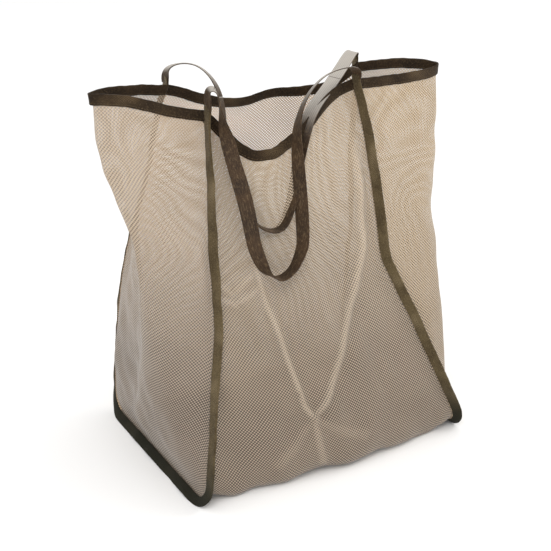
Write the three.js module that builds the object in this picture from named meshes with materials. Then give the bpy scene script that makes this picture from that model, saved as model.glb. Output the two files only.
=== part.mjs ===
// Mesh laundry bag: an open-topped soft bag of see-through mesh, bound in folded tape,
// with two webbing handles. One mesh sheet makes the front, bottom and back; two gussets
// make the sides and fold outward to an ear at the mouth.
// Millimetres, +Z up. +X is the bag's right, -Y its front.
// Origin: centre of the underside, on the floor.
import * as THREE from 'three';

const { lerp, clamp, smoothstep, degToRad } = THREE.MathUtils;
const LEFT = -1;
const RIGHT = 1;

// ---- driving dimensions ----
const MESH_T = 0.8; // mesh fabric thickness
const TAPE_T = 0.8; // binding tape thickness

const SEAM_LAYER = 0.6; // each mesh layer's offset from the seam's centre
const SEAM_FLANGE = 10; // seam allowance of the mesh inside the binding
const SEAM_IN = 1.5; // inner edge of the seam binding, out from the seam line
const SEAM_OUT = 14; // outer edge of the seam binding
const SEAM_FOLD = 1.2; // tape depth at the fold along that outer edge
const SEAM_SLOT = 1.4; // half gap inside the seam binding

const RIM_DEPTH = 12; // depth of the rim binding below the mesh edge
const RIM_SLOT = 0.75; // half gap inside the rim binding
const RIM_GAP = 0.4; // space between the mesh edge and the fold above it

const STRAP_W = 18; // handle webbing width
const STRAP_T = 1.6; // handle webbing thickness

const FLOOR_Z = MESH_T / 2; // mid plane of the bottom
const FLOOR_END_RISE = 3.4; // rise of the bottom at its front and back ends
const BOTTOM_FRONT_Y = -126;
const BOTTOM_BACK_Y = 124;
const BOTTOM_SEAM_Z = 8; // height of the bottom side seams
const BOTTOM_SEAM_RISE = 2.5; // extra height of those seams at the corners
const CORNER_V = 0.02; // height share at which the bottom takes its corner x
const WALL_SEAM_MIN_Z = 17; // lowest seam point on the front and back
const WALL_FOOT_Z = 9; // height of the lowest wall row away from the seams

// ---- curves ----
// Monotone cubic interpolation through a table, held constant beyond its ends.
function curve(xs, ys) {
  const count = xs.length;
  const steps = [];
  const rises = [];
  for (let i = 0; i < count - 1; i++) {
    steps.push(xs[i + 1] - xs[i]);
    rises.push((ys[i + 1] - ys[i]) / steps[i]);
  }
  const slopes = new Array(count).fill(0);
  slopes[0] = rises[0];
  slopes[count - 1] = rises[count - 2];
  for (let i = 1; i < count - 1; i++) {
    if (rises[i - 1] * rises[i] <= 0) continue;
    const before = 2 * steps[i] + steps[i - 1];
    const after = steps[i] + 2 * steps[i - 1];
    slopes[i] = (before + after) / (before / rises[i - 1] + after / rises[i]);
  }
  return (x) => {
    if (x <= xs[0]) return ys[0];
    if (x >= xs[count - 1]) return ys[count - 1];
    let i = 0;
    while (x > xs[i + 1]) i++;
    const t = (x - xs[i]) / steps[i];
    const t2 = t * t;
    const t3 = t2 * t;
    return (2 * t3 - 3 * t2 + 1) * ys[i] + (t3 - 2 * t2 + t) * steps[i] * slopes[i]
      + (3 * t2 - 2 * t3) * ys[i + 1] + (t3 - t2) * steps[i] * slopes[i + 1];
  };
}
const vec = (x, y, z) => new THREE.Vector3(x, y, z);
const edgeDistance = (u) => Math.min(u, 1 - u);
// 1 at either end of u, falling to 0 at `reach` from it
const endShare = (u, reach) => 1 - clamp(edgeDistance(u) / reach, 0, 1);

// ---- shape tables ----
// v is the height share, 0 at the floor and 1 at the rim.
// u runs left to right on the main panel, and front to back on the bottom and gussets.
const SEAM_X_V = [0, .03, .08, .15, .25, .35, .45, .55, .65, .75, .85, .95, 1];
const SEAM_Y_V = [0, .06, .15, .3, .45, .6, .8, 1];
const BULGE_V = [0, .08, .2, .4, .6, .8, 1];
const seamX = (xs) => curve(SEAM_X_V, xs);

// The two upright faces of the main panel:
// outward: sign of y; seamTop: seam heights at the rim; seamX, seamY: seam lines over v;
// rimZ: rim height over u; bulge: outward swell over v; sagBulge: extra swell where the
// rim sags; stubZ: top of the seam tape.
const FRONT = {
  outward: -1,
  seamTop: { [LEFT]: 452, [RIGHT]: 459 },
  seamX: {
    [LEFT]: seamX(
      [-185, -185.5, -183, -178, -167, -156, -143.5, -137.5, -134, -126, -118, -110.5, -105]),
    [RIGHT]: seamX([185, 186, 179, 169, 153, 138, 120, 106, 107, 107.5, 107.5, 105, 104]),
  },
  seamY: curve(SEAM_Y_V, [-128, -134, -128, -106, -84, -63, -33, -2]),
  bulge: curve(BULGE_V, [12, 15, 16, 15, 12, 9, 6]),
  sagBulge: 10,
  stubZ: 467,
};
FRONT.rimZ = curve(
  [0, .06, .12, .2, .27, .35, .42, .5, .58, .66, .74, .82, .9, 1],
  [FRONT.seamTop[LEFT], 441, 425, 409, 401, 401, 407, 415, 423.5, 434, 444, 451, 456,
    FRONT.seamTop[RIGHT]]);
const BACK = {
  outward: 1,
  seamTop: { [LEFT]: 477, [RIGHT]: 471 },
  seamX: {
    [LEFT]: seamX(
      [-186, -187, -187, -187, -185.5, -183.5, -181, -175.5, -164, -154, -148, -141, -135]),
    [RIGHT]: seamX([186, 187, 188, 188.5, 187, 184, 180, 173, 162, 154, 149, 142, 136]),
  },
  seamY: curve(SEAM_Y_V, [126, 134, 130, 118, 102, 84, 60, 36]),
  bulge: curve(BULGE_V, [4, 9, 13, 14, 12, 8, 5]),
  sagBulge: 6,
  stubZ: 486,
};
BACK.rimZ = curve(
  [0, .08, .18, .28, .4, .5, .65, .78, .9, 1],
  [BACK.seamTop[LEFT], 466, 454, 445, 438, 440, 445, 450, 461, BACK.seamTop[RIGHT]]);

// ---- stations: down the front, under the bag and up the back ----
const WALL_V = [.04, .09, .16, .24, .32, .4, .48, .55, .62, .7, .78, .86, .93, .972, 1];
const BOTTOM_U = [0, .05, .12, .2, .29, .38, .44, .475, .5, .525, .56, .62, .71, .8, .88, .95, 1];
// Wall stations hold { face, v }; bottom stations hold { u } alone.
const stations = [
  ...[...WALL_V].reverse().map((v) => ({ face: FRONT, v })),
  ...BOTTOM_U.map((u) => ({ u })),
  ...WALL_V.map((v) => ({ face: BACK, v })),
];
const BOTTOM_START = WALL_V.length; // first bottom station
const BACK_START = BOTTOM_START + BOTTOM_U.length; // first back station

// ---- seam lines ----
const bottomSeamZ = (u) => BOTTOM_SEAM_Z + BOTTOM_SEAM_RISE * endShare(u, .06);

function seamPoint({ face, v, u }, side) {
  if (face) {
    const z = Math.max(WALL_SEAM_MIN_Z, v * face.seamTop[side]);
    return vec(face.seamX[side](v), face.seamY(v), z);
  }
  const x = lerp(FRONT.seamX[side](CORNER_V), BACK.seamX[side](CORNER_V), u);
  return vec(x, lerp(BOTTOM_FRONT_Y, BOTTOM_BACK_Y, u), bottomSeamZ(u));
}

// degrees by which the bound edge leans sideways from straight front or back, over v
const edgeLean = curve([0, .1, .3, .45, .6, .8, 1], [42, 35, 25, 16, 6, 0, 0]);

// the way the seam's bound edge sticks out
function edgeDirection({ face, v, u }, side) {
  if (face) {
    const lean = degToRad(edgeLean(v));
    const drop = v < .05 ? -.3 : 0;
    return vec(side * Math.sin(lean), face.outward * Math.cos(lean), drop).normalize();
  }
  const corner = endShare(u, .12);
  const endSign = u < .5 ? -1 : 1;
  return vec(side * (1 - .25 * corner), endSign * .62 * corner, -.4).normalize();
}

function tangentAt(points, i) {
  const next = points[Math.min(i + 1, points.length - 1)];
  return next.clone().sub(points[Math.max(i - 1, 0)]).normalize();
}

// Frames hold a point, the profile's `across` direction and its `normal`.
// A seam's across follows the bound edge; its normal points towards the main panel.
function seamFrames(side) {
  const points = stations.map((station) => seamPoint(station, side));
  return points.map((point, i) => {
    const tangent = tangentAt(points, i);
    const across = edgeDirection(stations[i], side);
    across.addScaledVector(tangent, -across.dot(tangent)).normalize();
    const normal = new THREE.Vector3().crossVectors(tangent, across).multiplyScalar(side);
    return { point, across, normal };
  });
}
const seams = { [LEFT]: seamFrames(LEFT), [RIGHT]: seamFrames(RIGHT) };

const inFrame = ({ point, across, normal }, a, b) =>
  point.clone().addScaledVector(across, a).addScaledVector(normal, b);

// ---- solids ----
// Builds a geometry, turning all triangles over if they enclose a negative volume.
function geometryFrom(points, triangles) {
  let volume = 0;
  for (const [i, j, k] of triangles) {
    volume += points[i].dot(new THREE.Vector3().crossVectors(points[j], points[k]));
  }
  const index = triangles.flatMap(([i, j, k]) => (volume > 0 ? [i, j, k] : [i, k, j]));
  const geometry = new THREE.BufferGeometry().setFromPoints(points);
  geometry.setIndex(index);
  geometry.computeVertexNormals();
  return geometry;
}

// Thickens a mid surface of points and quads, and walls its open edges.
function sheet(points, quads, thickness) {
  const normals = points.map(() => new THREE.Vector3());
  for (const quad of quads) {
    const [a, b, c, d] = quad.map((i) => points[i]);
    const normal = new THREE.Vector3().crossVectors(c.clone().sub(a), d.clone().sub(b));
    normal.normalize();
    for (const i of quad) normals[i].add(normal);
  }
  normals.forEach((normal) => normal.normalize());
  const layer = (offset) => points.map((p, i) => p.clone().addScaledVector(normals[i], offset));

  const under = points.length; // index offset to the second layer
  const triangles = [];
  const openEdges = new Map();
  for (const [a, b, c, d] of quads) {
    triangles.push([a, b, c], [a, c, d]);
    triangles.push([under + a, under + c, under + b], [under + a, under + d, under + c]);
    for (const [i, j] of [[a, b], [b, c], [c, d], [d, a]]) {
      const key = `${Math.min(i, j)},${Math.max(i, j)}`;
      if (openEdges.has(key)) openEdges.delete(key);
      else openEdges.set(key, [i, j]);
    }
  }
  for (const [i, j] of openEdges.values()) {
    triangles.push([i, under + i, under + j], [i, under + j, j]);
  }
  return geometryFrom([...layer(thickness / 2), ...layer(-thickness / 2)], triangles);
}

function gridQuads(grid) {
  const columns = grid[0].length;
  const quads = [];
  for (let row = 0; row < grid.length - 1; row++) {
    for (let column = 0; column < columns - 1; column++) {
      const i = row * columns + column;
      quads.push([i, i + 1, i + columns + 1, i + columns]);
    }
  }
  return quads;
}

// Sweeps a closed profile of [across, normal] offsets along frames.
function sweep(frames, profile) {
  const size = profile.length;
  const points = frames.flatMap((frame) => profile.map(([a, b]) => inFrame(frame, a, b)));
  const triangles = [];
  for (let i = 0; i < frames.length - 1; i++) {
    for (let j = 0; j < size; j++) {
      const k = (j + 1) % size;
      const [a, b] = [i * size + j, i * size + k];
      const [c, d] = [b + size, a + size];
      // both faces of a tape split their quads the same way as the mesh inside
      if (profile[k][0] > profile[j][0]) triangles.push([a, b, d], [b, c, d]);
      else triangles.push([a, b, c], [a, c, d]);
    }
  }
  // the first cap faces back along the sweep, the last one forward
  const { triangulateShape, isClockWise } = THREE.ShapeUtils;
  const contour = profile.map(([a, b]) => new THREE.Vector2(a, b));
  const contourTurn = isClockWise(contour);
  const last = (frames.length - 1) * size;
  for (const cap of triangulateShape(contour, [])) {
    const sameTurn = isClockWise(cap.map((i) => contour[i])) === contourTurn;
    const [a, b, c] = sameTurn ? cap : [cap[0], cap[2], cap[1]];
    triangles.push([a, c, b], [last + a, last + b, last + c]);
  }
  return geometryFrom(points, triangles);
}

// ---- main panel: front, bottom and back in one sheet ----
const PANEL_U = [.04, .11, .19, .27, .35, .43, .5, .57, .65, .73, .81, .89, .96];
// how fully the rim's sag acts at height share v
const sagShare = (v) => clamp((v - .35) / .65, 0, 1) ** 1.6;
// 0 at the side seams, 1 over the flat middle
const flatShare = (u) => smoothstep(edgeDistance(u), 0, .11);

function panelBottomPoint(station, u) {
  const left = seamPoint(station, LEFT);
  const right = seamPoint(station, RIGHT);
  const floorZ = FLOOR_Z + FLOOR_END_RISE * endShare(station.u, .05) ** 2;
  return vec(lerp(left.x, right.x, u), lerp(left.y, right.y, u),
    lerp(left.z, floorZ, flatShare(u)));
}

function panelWallPoint({ face, v }, u) {
  const x = lerp(face.seamX[LEFT](v), face.seamX[RIGHT](v), u);
  const top = lerp(face.seamTop[LEFT], face.seamTop[RIGHT], u);
  const sag = sagShare(v);
  let z = Math.max(WALL_SEAM_MIN_Z, v * top) - (top - face.rimZ(u)) * sag;
  if (v < .05) z = lerp(z, WALL_FOOT_Z, flatShare(u));
  const heightShare = v < .06 ? v : z / top;
  const swell = Math.sin(Math.PI * u) ** 2 * (face.bulge(v) + face.sagBulge * sag);
  return vec(x, face.seamY(heightShare) + face.outward * swell, z);
}

// One row per station: flange, seam, panel points, seam, flange.
const panelGrid = stations.map((station, i) => {
  const left = seams[LEFT][i];
  const right = seams[RIGHT][i];
  const panelPoint = station.face ? panelWallPoint : panelBottomPoint;
  return [
    inFrame(left, SEAM_FLANGE, SEAM_LAYER),
    inFrame(left, 0, SEAM_LAYER),
    ...PANEL_U.map((u) => panelPoint(station, u)),
    inFrame(right, 0, SEAM_LAYER),
    inFrame(right, SEAM_FLANGE, SEAM_LAYER),
  ];
});

function mainPanel() {
  const across = panelGrid[0].length - 1; // quads in a row
  // the right flange's quads split along their other diagonal
  const quads = gridQuads(panelGrid).map(([a, b, c, d], i) =>
    (i % across === across - 1 ? [b, c, d, a] : [a, b, c, d]));
  return sheet(panelGrid.flat(), quads, MESH_T);
}

// ---- gussets: the side panels, folded outward to an ear at the mouth ----
const EAR_X_V = [0, .1, .2, .3, .45, .55, .62, .69, .75, .83, .92, 1];
const EAR_V = [0, .1, .2, .3, .45, .62, .75, 1];
// earX, earY: the ear's outermost line over v; rimZ: rim height over u
const GUSSETS = {
  [LEFT]: {
    earX: curve(EAR_X_V,
      [-187, -204, -211, -214, -214, -215, -218, -223, -230, -238, -245, -250]),
    earY: curve(EAR_V, [0, -8, -18, -26, -30, -30, -18, 8]),
    rimZ: curve([0, .1, .25, .35, .45, .5, .6, .8, .9, 1],
      [FRONT.seamTop[LEFT], 458, 473, 482.5, 487, 488.5, 488.5, 484.5, 481,
        BACK.seamTop[LEFT]]),
  },
  [RIGHT]: {
    earX: curve(EAR_X_V, [188, 203, 208, 209, 221, 230, 237, 241, 245, 248, 249, 247]),
    earY: curve(EAR_V, [-10, -60, -70, -62, -34, -2, 0, 8]),
    rimZ: curve([0, .1, .3, .4, .5, .6, .8, 1],
      [FRONT.seamTop[RIGHT], 459.5, 459.5, 460.5, 464, 469, 472, BACK.seamTop[RIGHT]]),
  },
};
const earHalfWidth = curve(EAR_V, [95, 88, 78, 64, 42, 17, 10, 6]);
const earDepthRatio = curve(EAR_V, [.02, .1, .18, .26, .5, 1, 1.15, 1.25]); // depth / half width
const EAR_MAX_SHARE = .55; // most of the run from seam to ear that the ear may take

function gussetPoint(u, v, side) {
  const { earX, earY, rimZ } = GUSSETS[side];
  const front = vec(FRONT.seamX[side](v), FRONT.seamY(v), 0);
  const back = vec(BACK.seamX[side](v), BACK.seamY(v), 0);
  const ear = vec(earX(v), earY(v), 0);
  const half = earHalfWidth(v);
  const depthRatio = earDepthRatio(v);
  const frontHalf = Math.min(half, EAR_MAX_SHARE * (ear.y - front.y));
  const backHalf = Math.min(half, EAR_MAX_SHARE * (back.y - ear.y));
  const earFront = vec(ear.x - side * frontHalf * depthRatio, ear.y - frontHalf, 0);
  const earBack = vec(ear.x - side * backHalf * depthRatio, ear.y + backHalf, 0);
  // the runs between seam and ear bow slightly outward
  const bowX = side * lerp(3, 0, v);
  const bowY = lerp(2, 3, v);
  const frontMiddle = front.clone().lerp(earFront, .5).add(vec(bowX, -bowY, 0));
  const backMiddle = earBack.clone().lerp(back, .5).add(vec(bowX, bowY, 0));

  const earShare = clamp(1.3 * half / 260, .035, .3); // half the ear's share of u
  const run = .5 - earShare;
  const shares = [0, run / 2, run, .5, .5 + earShare, .5 + earShare + run / 2, 1];
  const outline = [front, frontMiddle, earFront, ear, earBack, backMiddle, back];
  return vec(
    curve(shares, outline.map((p) => p.x))(u),
    curve(shares, outline.map((p) => p.y))(u),
    lerp(bottomSeamZ(u), rimZ(u), v));
}

// Rows from the bottom seam up to the rim, each running front to back.
function gussetGrid(side) {
  const seam = seams[side].map((frame) => inFrame(frame, 0, -SEAM_LAYER));
  const wallRows = WALL_V.map((v, row) => {
    const points = BOTTOM_U.map((u) => gussetPoint(u, v, side));
    points[0] = seam[BOTTOM_START - 1 - row];
    points[points.length - 1] = seam[BACK_START + row];
    return points;
  });
  return [seam.slice(BOTTOM_START, BACK_START), ...wallRows];
}
const gussetGrids = { [LEFT]: gussetGrid(LEFT), [RIGHT]: gussetGrid(RIGHT) };

// index in the gusset grid of the seam point at a station
function gussetSeamIndex(station) {
  const columns = BOTTOM_U.length;
  if (station < BOTTOM_START) return (BOTTOM_START - station) * columns;
  if (station < BACK_START) return station - BOTTOM_START;
  return (station - BACK_START + 2) * columns - 1;
}

function gusset(side) {
  const grid = gussetGrids[side];
  const flange = seams[side].map((frame) => inFrame(frame, SEAM_FLANGE, -SEAM_LAYER));
  const points = grid.flat();
  const base = points.length; // first flange point
  const quads = gridQuads(grid);
  for (let k = 0; k < flange.length - 1; k++) {
    quads.push([gussetSeamIndex(k + 1), gussetSeamIndex(k), base + k, base + k + 1]);
  }
  return sheet([...points, ...flange], quads, MESH_T);
}

// ---- bindings: tape folded over an edge ----
// U-shaped profile, from the open ends at `open` to the fold at `fold`
function tapeProfile({ open, fold, slotEnd, slot }) {
  const outer = slot + TAPE_T;
  return [
    [open, -outer], [fold, -outer], [fold, outer], [open, outer],
    [open, slot], [slotEnd, slot], [slotEnd, -slot], [open, -slot],
  ];
}
const SEAM_PROFILE = tapeProfile({
  open: SEAM_IN, fold: SEAM_OUT, slotEnd: SEAM_OUT - SEAM_FOLD, slot: SEAM_SLOT,
});
const RIM_PROFILE = tapeProfile({
  open: RIM_DEPTH, fold: -RIM_GAP - TAPE_T, slotEnd: -RIM_GAP, slot: RIM_SLOT,
});

function seamBinding(side) {
  const frames = seams[side];
  // the tape carries on up past the rim as the handle's sewn root
  const stub = ({ point }, face, share) => ({
    point: vec(point.x, point.y, lerp(point.z, face.stubZ, share)),
    across: vec(0, face.outward, 0),
    normal: vec(-side, 0, 0),
  });
  const first = frames[0];
  const last = frames.at(-1);
  return sweep([
    stub(first, FRONT, 1), stub(first, FRONT, .5),
    ...frames,
    stub(last, BACK, .5), stub(last, BACK, 1),
  ], SEAM_PROFILE);
}

// Follows the mesh edge `top`, hanging towards the row `below` it.
function rimBinding(top, below) {
  return sweep(top.map((point, i) => {
    const across = below[i].clone().sub(point).normalize();
    const normal = new THREE.Vector3().crossVectors(tangentAt(top, i), across).normalize();
    return { point, across, normal };
  }), RIM_PROFILE);
}
// main panel rims leave out the seam and flange points, gusset rims the seam points
const panelRim = (top, below) =>
  rimBinding(panelGrid.at(top).slice(2, -2), panelGrid.at(below).slice(2, -2));
const gussetRim = (side) =>
  rimBinding(gussetGrids[side].at(-1).slice(1, -1), gussetGrids[side].at(-2).slice(1, -1));

// ---- handles ----
// Rows are x, y, z and the webbing's width direction: degrees from +X in plan, or a vector.
const HANDLES = {
  // from the left root down outside the front panel, then up and over to the right root
  front_handle: [
    [-106, -10.8, 477, 0], [-106, -14.5, 474.6, 0], [-105.4, -19.5, 469.5, 0],
    [-103.8, -25.5, 459.5, 0], [-100.5, -32, 443, 0], [-97, -39, 424, 0],
    [-94, -47, 403, -5], [-90, -56, 379, -18], [-87, -65, 351, -28], [-85, -72, 330, -31],
    [-83, -80, 305, -33], [-79, -87, 284, -42], [-72, -92, 269, -62], [-60, -95, 260, -82],
    [-46, -95, 258, -90], [-34, -93, 263, -84], [-25, -89, 276, -66], [-19, -84, 292, -52],
    [-15, -77, 312, -42], [-12, -68, 342, -42], [-9.5, -60, 366, -50], [-7, -53, 390, -62],
    [-5, -48, 410, -76], [-3, -45, 428, -90],
    [0, -43, 445, [-.25, -.95, .1]], [6, -42, 457, [-.2, -.93, .3]],
    [15, -41, 469, [-.1, -.9, .42]], [27, -41, 479, [0, -.9, .43]],
    [41, -40, 484.5, [0, -.9, .43]], [57, -36, 485.5, [0, -.91, .41]],
    [74, -29, 483.5, [0, -.93, .36]], [87, -21.5, 480.5, [0, -.95, .3]],
    [96, -15.5, 477.5, [0, -.97, .22]], [101.5, -11.5, 475.6, [0, -.98, .2]],
  ],
  // from the left back root, over the mouth to the front rim
  back_handle_left: [
    [-135, 43.4, 490.4, 0], [-131.5, 38, 495.5, 0], [-124, 31, 501, 0],
    [-115, 22.5, 504.5, 0], [-105, 13, 504.5, 0], [-92.3, 2.5, 496.5, 0],
    [-84.3, -8.5, 480.5, 0], [-81.5, -17, 465, 0], [-79, -22.6, 454, 0],
  ],
  // from the right back root, over the mouth to the front rim
  back_handle_right: [
    [131.8, 43, 490.3, [.1, .95, -.3]], [127, 36, 492, [.5, .8, -.3]],
    [116, 29, 488, [.6, .75, -.3]], [102, 22, 480, [.6, .75, -.3]],
    [88, 15, 471, [.55, .8, -.25]], [72, 6, 463.5, [.45, .87, -.2]],
    [56, -3, 457.5, [.35, .92, -.15]], [42, -9, 454.5, [.2, .97, -.1]],
    [28, -13, 453, [.1, .99, -.1]], [14, -16.5, 452.5, [.1, .99, -.1]],
    [3, -20, 452, [.15, .98, -.1]],
  ],
  // folded down over the front rim, between the two runs above
  back_handle_loop: [
    [-78, -25.2, 448, 0], [-76.6, -31, 436, 8], [-75.2, -37.5, 422, 20],
    [-73.6, -44, 405, 38], [-71.5, -51, 380, 52], [-69, -59.5, 351, 62],
    [-63.5, -68, 328, 76], [-53, -73, 316, 90], [-41, -73.5, 319, 96], [-32, -72, 328, 98],
    [-26, -68, 345, 100], [-23, -61, 366, 101], [-20.5, -52, 390, 100],
    [-18.5, -46, 412, 98],
    [-16, -40.5, 428, [-.2, .97, .1]], [-12.5, -34.5, 440, [-.15, .95, .25]],
    [-9, -29, 447, [0, .95, .25]], [-4.5, -25, 450.6, [.1, .98, 0]],
  ],
};
const STRAP_PROFILE = [
  [-STRAP_W / 2, -STRAP_T / 2], [STRAP_W / 2, -STRAP_T / 2],
  [STRAP_W / 2, STRAP_T / 2], [-STRAP_W / 2, STRAP_T / 2],
];

function widthDirection(width) {
  if (Array.isArray(width)) return vec(...width).normalize();
  return vec(Math.cos(degToRad(width)), Math.sin(degToRad(width)), 0);
}

function strap(rows) {
  const points = rows.map(([x, y, z]) => vec(x, y, z));
  const path = new THREE.CatmullRomCurve3(points, false, 'centripetal');
  return sweep(points.map((point, i) => {
    const tangent = path.getTangent(i / (points.length - 1));
    const across = widthDirection(rows[i][3]);
    across.addScaledVector(tangent, -across.dot(tangent)).normalize();
    return { point, across, normal: new THREE.Vector3().crossVectors(tangent, across) };
  }), STRAP_PROFILE);
}

// ---- materials ----
const fabric = (color, roughness) =>
  new THREE.MeshStandardMaterial({ color, roughness, metalness: 0 });
const meshFabric = fabric(0xc4b49f, 0.85);
const tape = fabric(0x4a3d2f, 0.9);
const webbing = fabric(0x54483a, 0.9);

// ---- assembly ----
function add(parent, name, geometry, material) {
  const piece = new THREE.Mesh(geometry, material);
  piece.name = name;
  parent.add(piece);
}
const bag = new THREE.Group();
add(bag, 'main_panel', mainPanel(), meshFabric);
add(bag, 'left_gusset', gusset(LEFT), meshFabric);
add(bag, 'right_gusset', gusset(RIGHT), meshFabric);
add(bag, 'left_seam_binding', seamBinding(LEFT), tape);
add(bag, 'right_seam_binding', seamBinding(RIGHT), tape);
add(bag, 'front_rim_binding', panelRim(0, 1), tape);
add(bag, 'back_rim_binding', panelRim(-1, -2), tape);
add(bag, 'left_rim_binding', gussetRim(LEFT), tape);
add(bag, 'right_rim_binding', gussetRim(RIGHT), tape);

const handles = new THREE.Group();
bag.add(handles);
for (const [name, rows] of Object.entries(HANDLES)) add(handles, name, strap(rows), webbing);

export default bag;
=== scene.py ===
# Mesh laundry bag: an open, slack bag of see-through net, with taped seams and rims and two
# webbing handles. It stands on the floor at z = 0, with +X right, +Y back and +Z up.
# One sheet of net makes the front, base and back, and a gusset closes the left and right.
# Lengths in the shape code are millimetres, and become metres in new_mesh.
import math

import bmesh
import bpy
import numpy as np
from mathutils import Matrix, Vector


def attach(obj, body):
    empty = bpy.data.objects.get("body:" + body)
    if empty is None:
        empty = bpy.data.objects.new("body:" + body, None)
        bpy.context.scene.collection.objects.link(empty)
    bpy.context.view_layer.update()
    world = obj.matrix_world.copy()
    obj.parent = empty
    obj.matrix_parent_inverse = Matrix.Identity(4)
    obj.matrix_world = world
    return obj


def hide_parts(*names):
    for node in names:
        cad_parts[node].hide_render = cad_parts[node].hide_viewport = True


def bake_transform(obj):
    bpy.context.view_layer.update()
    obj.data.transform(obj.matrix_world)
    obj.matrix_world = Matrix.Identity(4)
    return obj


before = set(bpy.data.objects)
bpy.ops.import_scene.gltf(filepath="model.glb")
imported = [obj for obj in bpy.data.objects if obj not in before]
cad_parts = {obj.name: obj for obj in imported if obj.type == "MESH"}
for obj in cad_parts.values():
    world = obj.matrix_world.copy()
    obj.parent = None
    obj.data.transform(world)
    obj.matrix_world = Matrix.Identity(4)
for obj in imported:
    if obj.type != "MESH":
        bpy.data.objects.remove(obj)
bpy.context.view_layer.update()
SCENE = bpy.context.scene


# ------------------------------------------------------------------ curves and noise
def pchip(xs, ys):
    """Smooth curve through the points (xs, ys) that adds no bumps between them."""
    xs, ys = np.array(xs, float), np.array(ys, float)
    step = np.diff(xs)
    rise = np.diff(ys) / step
    slope = np.zeros(len(xs))
    slope[0], slope[-1] = rise[0], rise[-1]
    for i in range(1, len(xs) - 1):
        if rise[i - 1] * rise[i] > 0:
            a, b = 2 * step[i] + step[i - 1], step[i] + 2 * step[i - 1]
            slope[i] = (a + b) / (a / rise[i - 1] + b / rise[i])

    def curve(x):
        x = np.clip(np.asarray(x, float), xs[0], xs[-1])
        i = np.clip(np.searchsorted(xs, x, side="right") - 1, 0, len(xs) - 2)
        t = (x - xs[i]) / step[i]
        t2, t3 = t * t, t * t * t
        return ((2 * t3 - 3 * t2 + 1) * ys[i] + (t3 - 2 * t2 + t) * step[i] * slope[i]
                + (3 * t2 - 2 * t3) * ys[i + 1] + (t3 - t2) * step[i] * slope[i + 1])
    return curve


def lerp(a, b, t):
    return a + (b - a) * t


def clamp01(t):
    return np.clip(t, 0, 1)


def smooth01(t):
    t = clamp01(t)
    return t * t * (3 - 2 * t)


def near_ends(u, reach):
    """1 at u = 0 and u = 1, falling to 0 within reach of them."""
    return 1 - clamp01(np.minimum(u, 1 - u) / reach)


def inside(u, reach):
    """0 at u = 0 and u = 1, rising smoothly to 1 within reach of them."""
    return smooth01(np.minimum(u, 1 - u) / reach)


def fade_ends(dist, reach):
    """As inside, for distances along a line."""
    return smooth01(dist / reach) * smooth01((dist[-1] - dist) / reach)


def unit(vectors):
    return vectors / np.maximum(np.linalg.norm(vectors, axis=-1, keepdims=True), 1e-9)


def square_to(vectors, along):
    """Unit vectors with their part along the line taken out."""
    return unit(vectors - (vectors * along).sum(-1, keepdims=True) * along)


def arc(points):
    """Distance along a line of points."""
    return np.concatenate([[0], np.cumsum(np.linalg.norm(np.diff(points, axis=0), axis=1))])


def smooth_rows(grid, sigma):
    """Gaussian smoothing along the first axis, the ends kept by straight extension."""
    reach = int(4 * sigma) + 1
    weights = np.exp(-.5 * (np.arange(-reach, reach + 1) / sigma) ** 2)
    weights /= weights.sum()
    i = np.arange(1, reach + 1).reshape(-1, *([1] * (grid.ndim - 1)))
    padded = np.concatenate([(grid[0] - (grid[1] - grid[0]) * i)[::-1], grid,
                             grid[-1] + (grid[-1] - grid[-2]) * i])
    return sum(weight * padded[j:j + len(grid)] for j, weight in enumerate(weights))


def wave_noise(dist, seed, lengths, amps):
    """Smooth noise along a line, from three sine waves near each of the given lengths."""
    rng = np.random.RandomState(seed)
    out = np.zeros_like(dist)
    for length, amp in zip(lengths, amps):
        for _ in range(3):
            out += amp / 3 * 1.5 * np.sin(2 * np.pi * dist / (length * rng.uniform(.75, 1.35))
                                          + rng.uniform(0, 6.28))
    return out


def field_noise(points, seed, length, amp, waves, stretch):
    """Smooth noise over points, from plane waves whose directions favour the axes in stretch."""
    rng = np.random.RandomState(seed)
    out = np.zeros(points.shape[:-1])
    for _ in range(waves):
        direction = rng.normal(size=3) * np.array(stretch)
        direction = direction / np.linalg.norm(direction)
        rate = 2 * np.pi / (length * rng.uniform(.6, 1.7))
        out += np.sin((points @ direction) * rate + rng.uniform(0, 6.28))
    return out * amp * math.sqrt(2. / waves)


# ------------------------------------------------------------------ shape tables (as in the CAD)
LEFT, RIGHT = -1, 1
FRONT, BASE, BACK = 0, 1, 2
SIDE_NAMES = ((LEFT, "left"), (RIGHT, "right"))

# Height of the bag at each top corner
HEIGHT = {(LEFT, FRONT): 452., (RIGHT, FRONT): 462., (LEFT, BACK): 478., (RIGHT, BACK): 472.}
LOWEST = 17.            # lowest height of an upright seam, before smoothing
SEAM_Z = 8.             # height of the seams along the base
SEAM_Z_LIFT = 2.5       # added at the base corners
BASE_Y = (-126, 124)    # front and back ends of the base seams
BASE_SHARE = .02        # share of the height where the base seams take their x

# x of each upright seam, against the share of the corner's height
X_SHARES = [0, .03, .08, .15, .25, .35, .45, .55, .65, .75, .85, .95, 1]
SEAM_X = {
    (LEFT, FRONT): pchip(X_SHARES, [
        -186, -186.5, -184, -178, -167, -156, -143.5, -137.5, -134, -126, -118, -111, -107.5]),
    (RIGHT, FRONT): pchip(X_SHARES, [
        187.5, 188.5, 181, 168, 152, 137, 119, 105, 106.5, 107, 107, 104, 101.5]),
    (LEFT, BACK): pchip(X_SHARES, [
        -186, -187, -187, -187, -185.5, -183.5, -181, -175.5, -164, -154, -148, -141, -135]),
    (RIGHT, BACK): pchip(X_SHARES, [
        186, 187, 188, 188.5, 187, 184, 180, 173, 162, 154, 149, 142, 136])}
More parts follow.
